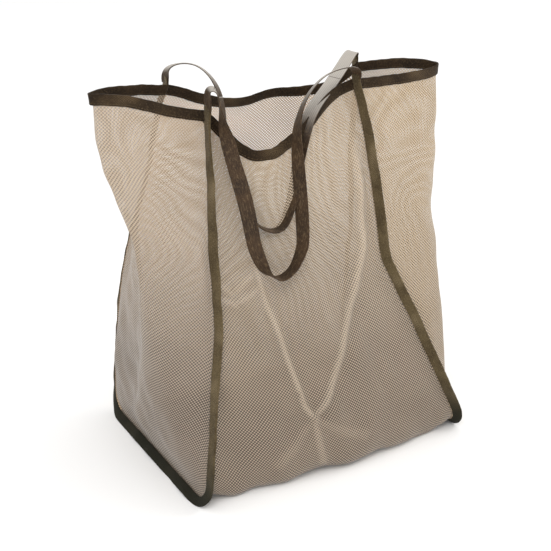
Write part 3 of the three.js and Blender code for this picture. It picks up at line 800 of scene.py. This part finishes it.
def web_material(name, light, dark, glint, pale):
    """Handle webbing: glint is the colour of its specks, pale that of the painted highlight on its
    up-facing ribs.
    """
    k = Shader(name)
    cloth = k.fab()
    x, y, z = k.split(cloth)
    ribs = k.wave(x, pitch=2.35)
    weft = k.wave(y, pitch=1.05)
    slant = k.wave(k.add(x, k.mul(y, 1.0)), pitch=.95)
    weave = k.add(k.mul(weft, .5), k.mul(slant, .35))
    big = k.noise(cloth, scale=.028, detail=4, rough=.6)
    fine = k.noise(cloth, scale=1.1, detail=3, rough=.6)
    # two tones in patches, dark between the threads, lighter ribs, then specks
    colour = k.layer(dark, light, big, span=MIDDLE, to=(0, 1))
    colour = k.layer(colour, k.mix(colour, BLACK, share=.6), weave,
                     span=(-.8, .8), to=(.4, 0), smooth=False)
    colour = k.layer(colour, light, ribs, span=(-.2, 1), to=(0, .28))
    colour = k.layer(colour, glint, fine, span=(.55, .78), to=(0, .4))
    # grain drawn out along the strap
    drawn = k.node("CombineXYZ")
    for i, value in enumerate((x, k.mul(y, .3), z)):
        k.put(drawn.inputs[i], value)
    grain = k.noise(drawn.outputs[0], scale=.75, detail=3, rough=.7)
    colour = k.layer(colour, glint, grain, span=(.5, .68), to=(0, .3))
    colour = k.layer(colour, (.008, .006, .005, 1), grain, span=(.5, .34), to=(0, .28))
    # painted highlight: the ribs are painted pale where the strap faces up, near its top, for light
    # from above
    facing = k.split(k.node("NewGeometry").outputs["Normal"])[2]
    lit = k.mul(k.remap(facing, span=(.3, .92), to=(0, 1)),
                k.remap(k.height(), span=(.40, .455), to=(0, 1)))
    shine = k.mul(lit, k.remap(k.add(weave, k.mul(ribs, .5)), span=(-1, 1), to=(.45, 1),
                               smooth=False))
    colour = k.mix(colour, pale, share=k.mul(shine, .8))
    k.surface({"Base Color": colour, "Roughness": k.remap(fine, span=MIDDLE, to=(.5, .7)),
               "Specular IOR Level": .2, "Sheen Weight": .1, "Sheen Roughness": .35,
               "Sheen Tint": (1, .9, .78, 1)})
    k.bump(k.add(weave, k.mul(fine, .7)), strength=.6, distance=.0002)
    return k.material


# The panels are one net; their different colours and shade settings are painted light and shade:
# the back, seen from inside, and the right gusset are painted lighter, the base darker
M_FRONT = net_material("mesh_front", light=srgb(212, 193, 168), dark=srgb(154, 134, 110))
M_BACK = net_material("mesh_back", light=srgb(236, 208, 173), dark=srgb(194, 164, 130),
                      hole=.25, hole_low=.5, floor_shade=.15, hole_shade=(.3, .2, .115, 1), wider=.1)
M_BASE = net_material("mesh_base", light=srgb(176, 157, 134), dark=srgb(120, 104, 86), hole=.4)
M_GUSSET = {
    LEFT: net_material("mesh_gusset", light=srgb(210, 191, 168), dark=srgb(156, 137, 116),
                       floor_shade=.44, wider=.19),
    RIGHT: net_material("mesh_gusset_right", light=srgb(216, 194, 164),
                        dark=srgb(160, 139, 112), hole_low=.7, floor_shade=.2, wider=.06)}
M_TAPE = tape_material("binding_tape", light=srgb(100, 86, 60), dark=srgb(68, 56, 37),
                       worn=srgb(142, 126, 98))
M_RIM = tape_material("rim_tape", light=srgb(54, 40, 25), dark=srgb(32, 23, 15),
                      worn=srgb(108, 90, 66))
M_WEB = web_material("handle_webbing", light=srgb(72, 53, 35), dark=srgb(42, 30, 20),
                     glint=srgb(146, 124, 94), pale=srgb(218, 212, 203))
M_THREAD = tape_material("sewing_thread", light=srgb(104, 90, 66), dark=srgb(78, 64, 46),
                         rib=.4)

# ------------------------------------------------------------------ net panels
ALLOWANCE = (2.5, 5.5, 9.)      # seam allowance inside the binding, out from the seam
CLOTH_GAP = .3                  # each cloth stands this far from the middle of the seam
OVERLAP = 3                     # rows of the front and back panels past the base corners


def seam_line(side, face):
    return FRAMES[side]["point"] + FRAMES[side]["normal"] * face * CLOTH_GAP


def main_panels():
    """Builds the front, base and back panels, and returns their shared grid."""
    dressed, doubled = dress_sheet(SHEET)
    edges = {}
    for side, column in ((LEFT, 0), (RIGHT, -1)):
        line = seam_line(side, 1)
        dressed[:, column] = line
        edges[side] = [line + FRAMES[side]["across"] * width for width in ALLOWANCE]
    grid = np.concatenate([np.stack(edges[LEFT][::-1], 1), dressed,
                           np.stack(edges[RIGHT], 1)], 1)
    # the cloth coordinates are measured before the wrinkles are put in
    inner = slice(len(ALLOWANCE), -len(ALLOWANCE))
    flat = grid.copy()
    flat[:, inner] = SHEET
    fab = cloth_coords(flat)
    fab[:, inner, 2] = doubled
    front_end, back_start = UP_COUNT + OVERLAP, UP_COUNT + BASE_COUNT - OVERLAP
    for name, rows, mat in (
            ("front_mesh_panel", slice(0, front_end), M_FRONT),
            ("base_mesh_panel", slice(front_end - 1, back_start + 1), M_BASE),
            ("back_mesh_panel", slice(back_start, STATIONS), M_BACK)):
        part = grid[rows]
        new_mesh(name, part, grid_faces(*part.shape[:2]), mat, fab[rows], "bag",
                 ("main_panel",))
    return grid


def gusset_panel(side, name):
    """Builds a gusset with its seam allowance, and returns its grid."""
    grid = gusset(side)
    line = seam_line(side, -1)
    set_border(grid, line)
    rows, columns = grid.shape[:2]
    verts, faces = [grid.reshape(-1, 3)], [grid_faces(rows, columns)]
    fab = [cloth_coords(grid).reshape(-1, 3)]
    # the border in the order of the stations
    last = np.array([(rows - 1 - i) * columns for i in range(UP_COUNT)] + list(range(columns))
                    + [(i + 1) * columns + columns - 1 for i in range(UP_COUNT)])
    border_fab = fab[0][last]
    outward = unit(border_fab - border_fab.mean(0))
    first = rows * columns
    for width in ALLOWANCE:
        verts.append(line + FRAMES[side]["across"] * width)
        fab.append(border_fab + outward * width)
        ring = first + np.arange(STATIONS)
        faces.append(np.stack([last[1:], last[:-1], ring[:-1], ring[1:]], -1))
        last = ring
        first += STATIONS
    new_mesh(name + "_mesh_gusset", np.concatenate(verts), np.concatenate(faces),
             M_GUSSET[side], np.concatenate(fab), "bag", (name + "_gusset",))
    return grid


MAIN_GRID = main_panels()
GUSSET_GRID = {side: gusset_panel(side, name) for side, name in SIDE_NAMES}

# ------------------------------------------------------------------ seam and rim tapes
SEAM_PROFILE = tape_profile(start=1.2, fold=13.9, outer=1.35, inner=.72)
RIM_WIDTH, RIM_OVER = 12.2, 1.0     # tape's reach, and how much of it stands past the cloth
RIM_PROFILE = tape_profile(start=0, fold=RIM_WIDTH + RIM_OVER, outer=1.05, inner=.45)
RIM_ROW = 3                         # row of the cloth that gives the rim tape its direction


def seam_binding(side, name):
    """Binding on a U seam, run up past the rim into the handle roots."""
    seam = FRAMES[side]
    points, rise = seam["point"], np.array([[0, 0, 4.], [0, 0, 8.]])
    points = np.concatenate([points[0] + rise[::-1], points, points[-1] + rise])
    longer = {key: np.pad(seam[key], ((2, 2), (0, 0)), mode="edge") for key in DIRECTIONS}
    frames = resample({"point": points, "dist": arc(points), **longer}, step=2.6)
    dist = frames["dist"]
    pucker = wave_noise(dist, 60 + side, lengths=(17, 9), amps=(.10, .08))
    sway = wave_noise(dist, 70 + side, lengths=(55, 26), amps=(.35, .2))
    frames["point"] = (frames["point"] + frames["normal"] * sway[:, None]
                       + frames["across"] * pucker[:, None])
    tape(name + "_seam_tape", frames, SEAM_PROFILE, M_TAPE, name + "_seam_binding")
    stitches(name + "_seam_stitching", frames, across=3.4, lift=1.45, margin=2)


def rim_binding(name, top, below, seed):
    """Tape folded over a rim; its profile runs up from the free edges to the fold."""
    along = unit(np.gradient(top, axis=0))
    across = square_to(unit(smooth_rows(unit(top - below), 1.5)), along)
    frames = resample({"point": top, "along": along, "across": across,
                       "normal": unit(np.cross(along, across)), "dist": arc(top)}, step=2.4)
    sway = wave_noise(frames["dist"], seed, lengths=(40, 15), amps=(.25, .15))
    drop = RIM_WIDTH - RIM_OVER + sway
    frames["point"] = frames["point"] - frames["across"] * drop[:, None]
    tape(name + "_rim_tape", frames, RIM_PROFILE, M_RIM, name + "_rim_binding")
    stitches(name + "_rim_tape_stitching", frames, across=2.0, lift=1.12, margin=1.5)


def gusset_rim_row(side, row):
    """A row of the gusset counted down from its rim, with its ends tucked into the seams."""
    tuck = seam_line(side, -1) + FRAMES[side]["across"] * ALLOWANCE[0]
    return np.concatenate([tuck[row][None], GUSSET_GRID[side][-1 - row],
                           tuck[STATIONS - 1 - row][None]])


for side, name in SIDE_NAMES:
    seam_binding(side, name)
rim_binding("front", MAIN_GRID[0, 2:-2], MAIN_GRID[RIM_ROW, 2:-2], seed=3)
rim_binding("back", MAIN_GRID[-1, 2:-2], MAIN_GRID[-1 - RIM_ROW, 2:-2], seed=4)
for side, name in SIDE_NAMES:
    rim_binding(name, gusset_rim_row(side, 0), gusset_rim_row(side, RIM_ROW), seed=7 + side)

# ------------------------------------------------------------------ handles
STRAP_WIDTH, STRAP_THICK = 17.6, 1.5
RIBS, RIB_DEPTH = 7, .13
CURVE_STEPS = 26        # points of the curve between two rows of a handle's table

# Rows: x, y, z, the direction across the strap (x, y, z), and its width where not STRAP_WIDTH
FRONT_HANDLE = [
    (-106.1, -9.9, 453, .17, -.98, 0, 11), (-106.1, -10, 462, .17, -.98, 0, 13),
    (-106.8, -11, 471, .1, -1, 0, 16), (-107, -13, 478, 0, -1, 0),
    (-104.2, -16.5, 482.5, -.15, -.98, -.1), (-100.2, -20, 480.5, -.32, -.95, -.1),
    (-98.6, -23.5, 471, -.44, -.9, 0), (-98.8, -27, 460, -.4, -.92, 0),
    (-98.8, -30.5, 448, -.05, -1, 0), (-98, -34.5, 436, .42, -.9, 0),
    (-95.5, -39.5, 420, .82, -.57, 0), (-93, -45.5, 401, .93, -.35, 0),
    (-90, -54, 379, .9, -.42, 0, 18.6), (-86.5, -62.5, 353, .87, -.5, 0, 18.6),
    (-84.5, -69, 330, .85, -.53, 0, 18), (-83, -77, 303, .8, -.6, 0),
    (-79, -84.5, 284, .66, -.75, 0), (-73.5, -89, 271, .4, -.92, 0),
    (-66, -92, 263.5, .15, -.99, 0), (-56, -93, 259.5, 0, -1, 0),
    (-46, -92, 262, -.1, -1, 0), (-36, -90, 268, 0, -1, 0),
    (-27.5, -87, 278, .2, -.95, 0), (-20, -84, 291, .42, -.9, 0),
    (-15.5, -77, 311, .55, -.83, 0), (-12.5, -68.5, 338, .58, -.81, 0),
    (-10, -60, 364, .55, -.83, 0), (-8, -53, 385, .48, -.88, 0),
    (-6, -46.5, 405, .3, -.95, 0), (-3, -41.5, 425, .05, -.97, .2),
    (2, -38.5, 440, -.15, -.93, .35), (8.5, -37, 454, -.2, -.9, .42),
    (17, -36, 465.5, -.2, -.88, .43), (29, -34, 475.5, -.2, -.88, .43),
    (42, -31, 481.5, -.2, -.9, .41), (56, -27.5, 484.5, -.15, -.92, .38),
    (70, -23.5, 485.3, -.1, -.94, .33), (83, -19, 484.5, 0, -.96, .28),
    (94, -14.5, 482, .1, -.98, .2), (101.5, -11.5, 477.5, .2, -.98, .1),
    (104.2, -9.9, 471, .28, -.96, 0, 15), (104.1, -9.6, 463, .28, -.96, 0, 11)]
BACK_HANDLE = [
    (-135, 43.9, 480, -.2, .98, 0, 13), (-135, 44, 487, -.2, .98, 0, 16),
    (-133.5, 43.6, 494, .05, .99, -.1), (-129, 40.5, 499.5, .3, .93, -.2),
    (-121.5, 34, 503.3, .4, .885, -.23), (-113, 25.5, 504.5, .43, .875, -.23),
    (-104.5, 14.5, 502, .45, .87, -.22), (-97, 3, 493.5, .5, .84, -.15),
    (-91.5, -5.5, 480.5, .6, .78, -.1), (-89.8, -11.5, 466.5, .68, .72, 0),
    (-90.3, -16.5, 452.5, .72, .68, 0), (-91.5, -20.8, 438, .74, .66, 0),
    (-92, -25.5, 421, .76, .64, 0), (-90.5, -31.5, 401, .76, .64, 0),
    (-87, -40, 376, .76, .64, 0), (-82.5, -48.5, 352, .7, .7, 0),
    (-77, -57, 334, .5, .87, 0), (-70, -64, 321.5, .25, .97, 0),
    (-60, -69, 315, .05, 1, 0), (-50, -70, 312.5, 0, 1, 0),
    (-41, -69, 315, 0, 1, 0), (-33, -66, 321.5, -.05, 1, .1),
    (-26, -62, 331, -.1, 1, .1), (-17.5, -56, 345, -.2, .97, .1),
    (-8, -48, 365, -.3, .95, .1), (0, -41, 386, -.4, .9, .1),
    (8, -35.5, 404, -.5, .86, .1), (15, -31, 418, -.55, .83, .1),
    (22.5, -26, 430, -.58, .81, .1), (33, -19.5, 439, -.6, .8, .1),
    (45, -12, 446, -.6, .8, .1), (60, -3, 452.5, -.6, .8, .1),
    (75, 6, 459.5, -.6, .8, .1), (90, 15, 467.5, -.6, .8, .1),
    (104, 23, 475.5, -.58, .81, .1), (117, 31, 483, -.55, .83, .1),
    (127, 37.5, 487.5, -.4, .9, .05), (133.5, 42, 487, -.15, .98, 0, 16),
    (136.2, 43.8, 480, 0, 1, 0, 14), (136.2, 43.9, 474, 0, 1, 0, 11)]


def catmull(points):
    """Centripetal Catmull-Rom curve through the points."""
    ends = [2 * points[0] - points[1]], [2 * points[-1] - points[-2]]
    padded = np.concatenate([ends[0], points, ends[1]])
    out = []
    for i in range(1, len(padded) - 2):
        p0, p1, p2, p3 = padded[i - 1:i + 3]
        t1, d12, d23 = (np.linalg.norm(b - a) ** .5 for a, b in ((p0, p1), (p1, p2), (p2, p3)))
        t2 = t1 + d12
        t3 = t2 + d23
        for k in range(CURVE_STEPS):
            t = t1 + (t2 - t1) * k / CURVE_STEPS
            a1 = (t1 - t) / t1 * p0 + t / t1 * p1
            a2 = (t2 - t) / (t2 - t1) * p1 + (t - t1) / (t2 - t1) * p2
            a3 = (t3 - t) / (t3 - t2) * p2 + (t - t2) / (t3 - t2) * p3
            b1 = (t2 - t) / t2 * a1 + t / t2 * a2
            b2 = (t3 - t) / (t3 - t1) * a2 + (t - t1) / (t3 - t1) * a3
            out.append((t2 - t) / (t2 - t1) * b1 + (t - t1) / (t2 - t1) * b2)
    out.append(points[-1])
    return np.array(out)


def strap_frames(table, step=1.6, sigma=3.0):
    """Frames along a strap, step apart, smoothed over sigma rows."""
    points = catmull(np.array([row[:3] for row in table], float))
    directions = unit(np.array([row[3:6] for row in table], float))
    widths = [row[6] if len(row) > 6 else STRAP_WIDTH for row in table]
    place = np.arange(len(points)) / CURVE_STEPS       # in rows of the table
    i = np.minimum(place.astype(int), len(table) - 2)
    share = smooth01((place - i)[:, None])
    across = directions[i] * (1 - share) + directions[i + 1] * share
    width = np.interp(place, np.arange(len(widths)), widths)
    dist = arc(points)
    at = np.linspace(0, dist[-1], int(dist[-1] / step) + 1)
    points = smooth_rows(interp3(at, dist, points), sigma)
    along = unit(np.gradient(points, axis=0))
    across = square_to(smooth_rows(interp3(at, dist, across), sigma * 1.5), along)
    return {"point": points, "along": along, "across": across,
            "normal": unit(np.cross(along, across)), "dist": at,
            "width": np.interp(at, dist, width)}


def strap_profile():
    """Ribbed webbing in section, and the pairs of points facing each other through it."""
    steps = RIBS * 4
    half, edge = STRAP_WIDTH / 2, STRAP_THICK / 2
    a = np.linspace(-(half - edge * .9), half - edge * .9, steps + 1)
    dip = .5 - .5 * np.cos(2 * np.pi * np.arange(steps + 1) / 4)
    top = list(zip(a, edge - RIB_DEPTH * dip))
    end = [(half - edge * .35, edge * .72), (half, edge * .25),
           (half, -edge * .25), (half - edge * .35, -edge * .72)]
    profile = top + end + mirrored(top)[::-1] + [(-x, -y) for x, y in end]
    size, count = len(profile), len(top)
    pairs = [(size - 2, size - 3), (size - 1, size - 4)]
    pairs += list(zip(range(count), range(2 * count + 3, count + 3, -1)))
    pairs += [(count, count + 3), (count + 1, count + 2)]
    return profile, pairs


def strap(name, frames, start, stop, replaces):
    frames = {key: values[start:stop] for key, values in frames.items()}
    profile, pairs = strap_profile()
    verts, faces, fab = sweep(frames, profile, pairs, frames["width"] / STRAP_WIDTH)
    ob = new_mesh(name, verts, faces, M_WEB, fab, replaces=(replaces,))
    fix_normals(ob)
    # flat ends, so lengths that meet show no line
    sides = len(profile) * (len(frames["point"]) - 1)
    for face in ob.data.polygons[sides:]:
        face.use_smooth = False
    return ob


def front_handle():
    """Cut at the crest of its left limb, and on its right limb at x = 80."""
    frames = strap_frames(FRONT_HANDLE)
    x, _, z = frames["point"].T
    lowest = int(np.argmin(z))
    crest = int(np.argmax(z[:lowest]))
    right_cut = lowest + int(np.argmax(x[lowest:] > 80))
    end = strap("front_strap_end", frames, 0, crest + 1, "front_handle")
    loop = strap("front_strap_loop", frames, crest, right_cut + 1, "front_handle")
    right = strap("front_strap_right", frames, right_cut, None, "front_handle")
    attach(end, "bag")
    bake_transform(loop)
    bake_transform(right)


def back_handle():
    """Cut where it comes forward of y = -10, and on its right limb at x = 84."""
    frames = strap_frames(BACK_HANDLE)
    x, y, _ = frames["point"].T
    left_cut = int(np.argmax(y < -10))
    right_cut = left_cut + int(np.argmax(x[left_cut:] > 84))
    left = strap("back_strap_left", frames, 0, left_cut + 1, "back_handle_left")
    drape = strap("back_strap_drape", frames, left_cut, right_cut + 1, "back_handle_loop")
    right = strap("back_strap_right", frames, right_cut, None, "back_handle_right")
    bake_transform(left)
    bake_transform(right)
    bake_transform(drape)


front_handle()
back_handle()


# ------------------------------------------------------------------ stage, light, camera (metres)
def floor(half=6.0):
    mesh = bpy.data.meshes.new("floor")
    corners = [(-half, -half, 0), (half, -half, 0), (half, half, 0), (-half, half, 0)]
    mesh.from_pydata(corners, [], [(0, 1, 2, 3)])
    ob = bpy.data.objects.new("floor", mesh)
    SCENE.collection.objects.link(ob)
    paper = Shader("floor_paper")
    paper.surface({"Base Color": (.96, .958, .955, 1), "Roughness": .9,
                   "Specular IOR Level": .1})
    mesh.materials.append(paper.material)


def studio_world():
    world = bpy.data.worlds.new("studio")
    SCENE.world = world
    world.use_nodes = True
    background = world.node_tree.nodes["Background"]
    background.inputs["Color"].default_value = (1, 1, 1, 1)
    background.inputs["Strength"].default_value = 1.0


def area(name, place, target, size, power, colour):
    light = bpy.data.lights.new(name, "AREA")
    light.shape, light.size, light.energy, light.color = "DISK", size, power, colour
    ob = bpy.data.objects.new(name, light)
    SCENE.collection.objects.link(ob)
    ob.location = place
    ob.rotation_euler = (Vector(target) - Vector(place)).to_track_quat("-Z", "Y").to_euler()


def camera(azimuth, distance, height, tilt, yaw_offset):
    """Camera at a plan angle and distance from the origin, looking down by tilt (radians)."""
    yaw = azimuth + yaw_offset
    forward = Vector((-math.sin(yaw) * math.cos(tilt), math.cos(yaw) * math.cos(tilt),
                      -math.sin(tilt)))
    right = Vector((math.cos(yaw), math.sin(yaw), 0))
    rotation = Matrix((right, right.cross(forward), -forward)).transposed()
    place = (math.sin(azimuth) * distance, -math.cos(azimuth) * distance, height)
    data = bpy.data.cameras.new("camera")
    data.sensor_fit, data.sensor_width, data.lens = "HORIZONTAL", 36, 74.35
    data.clip_end = 30
    ob = bpy.data.objects.new("camera", data)
    SCENE.collection.objects.link(ob)
    ob.matrix_world = Matrix.Translation(place) @ rotation.to_4x4()
    SCENE.camera = ob


floor()
studio_world()
area("key_light", place=(-1.1, -1.5, 2.3), target=(0, 0, .25), size=1.3, power=22,
     colour=(1, .985, .96))
area("right_light", place=(2.2, -.6, 1.9), target=(0, 0, .3), size=1.6, power=16,
     colour=(1, .97, .93))
camera(azimuth=math.radians(-30.8), distance=1.3584, height=.8232, tilt=math.radians(24.1),
       yaw_offset=.0055)
SCENE.view_settings.view_transform = "Standard"
SCENE.view_settings.look = "None"
SCENE.cycles.transparent_max_bounces = 40       # enough to see through every layer of net
